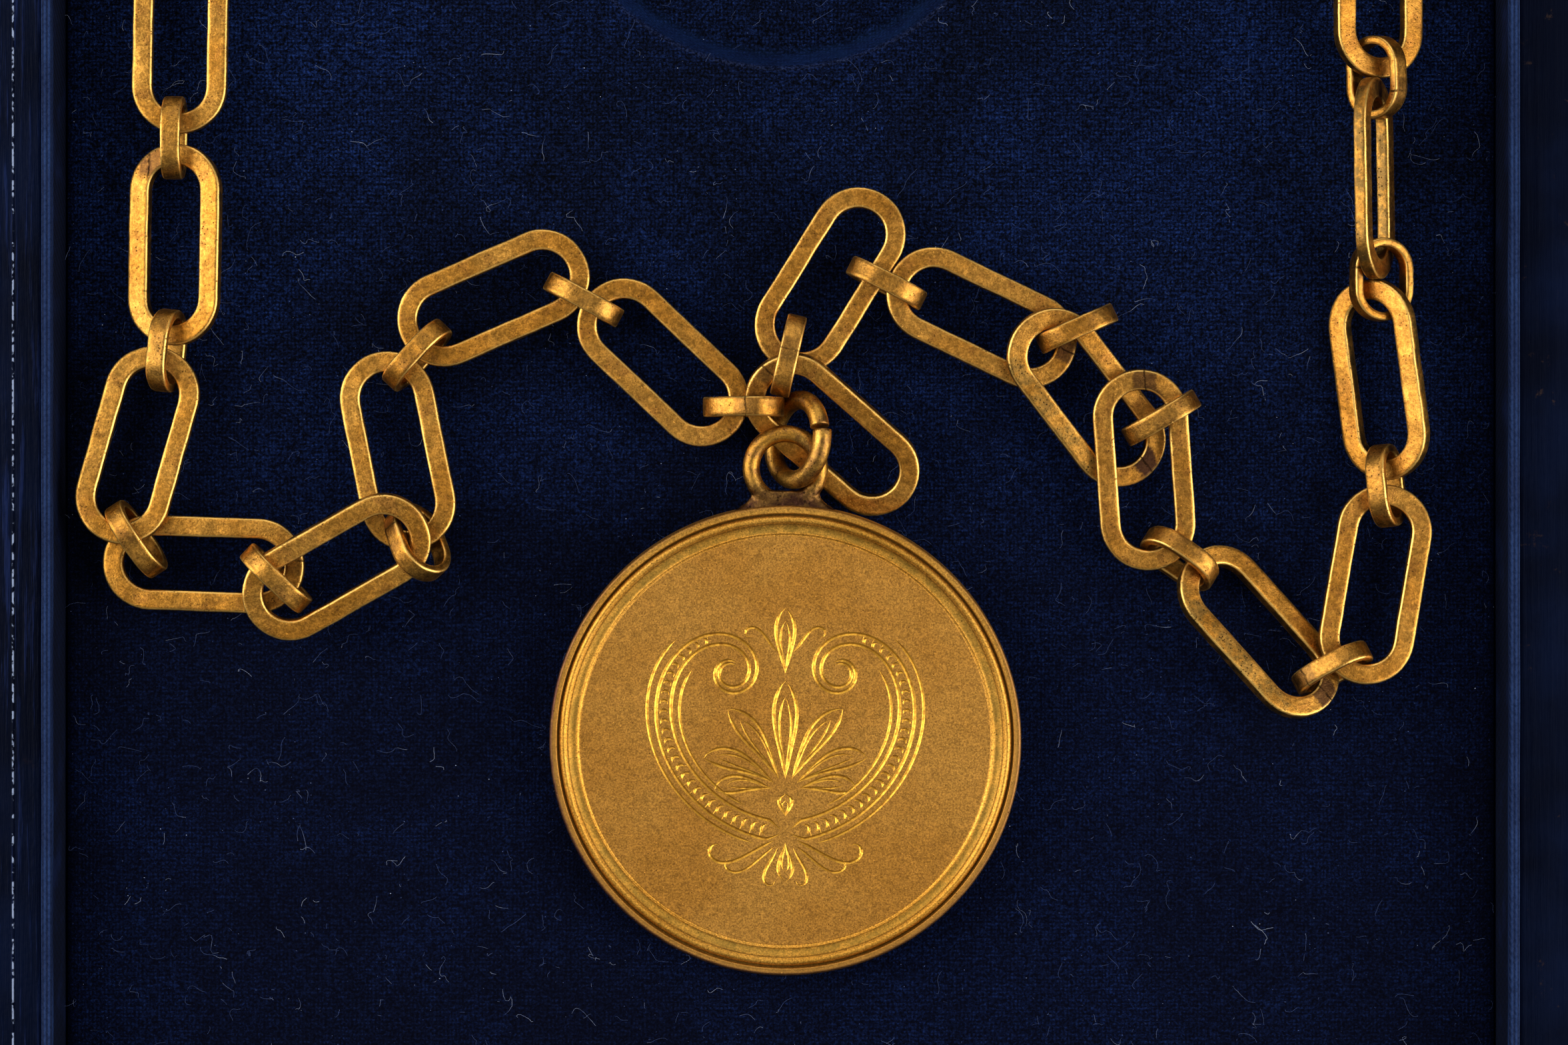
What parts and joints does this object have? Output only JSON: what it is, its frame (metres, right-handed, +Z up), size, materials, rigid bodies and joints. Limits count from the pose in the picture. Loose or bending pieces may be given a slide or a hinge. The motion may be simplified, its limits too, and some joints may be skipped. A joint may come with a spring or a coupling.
{
  "type": "commemorative medallion on a link chain in a velvet-lined case",
  "caption": "Gilt disc medallion with moulded rims and a soldered loop, hung by a split ring on a long-link neck chain, lying in an open velvet-lined case with a round storage well.",
  "frame": {"origin": "middle of the case's underside", "axes": "+X across the case to the right, +Y along the case from the medallion towards the round well, +Z up"},
  "size_m": [0.2024, 0.2684, 0.0279],
  "materials": {
    "gilt": "matte gilt with bright worn edges and brown tarnish",
    "velvet": "short navy pile",
    "ribbon": "ribbed satin ribbon over board",
    "leather": "glossy grained leather over board"
  },
  "bodies": {
    "root": {"case_shell": "leather", "lining_left": "ribbon", "lining_right": "ribbon", "lining_near": "ribbon", "lining_far": "ribbon", "velvet_pad": "velvet", "well_floor": "velvet", "long_link_01": "gilt", "long_link_02": "gilt", "long_link_03": "gilt", "long_link_04": "gilt", "long_link_05": "gilt", "long_link_06": "gilt", "long_link_07": "gilt", "long_link_08": "gilt", "long_link_09": "gilt", "long_link_10": "gilt", "long_link_11": "gilt", "long_link_12": "gilt", "long_link_13": "gilt", "long_link_14": "gilt", "long_link_15": "gilt", "long_link_16": "gilt", "long_link_17": "gilt", "long_link_18": "gilt", "short_link_01": "gilt", "short_link_02": "gilt", "short_link_03": "gilt", "short_link_04": "gilt", "short_link_05": "gilt", "short_link_06": "gilt", "short_link_07": "gilt", "short_link_08": "gilt", "short_link_09": "gilt", "short_link_10": "gilt", "short_link_11": "gilt", "short_link_12": "gilt", "short_link_13": "gilt", "short_link_14": "gilt", "short_link_15": "gilt", "short_link_16": "gilt", "short_link_17": "gilt", "chain_back": "gilt", "split_ring": "gilt", "medallion": "gilt"}
  },
  "joints": []
}
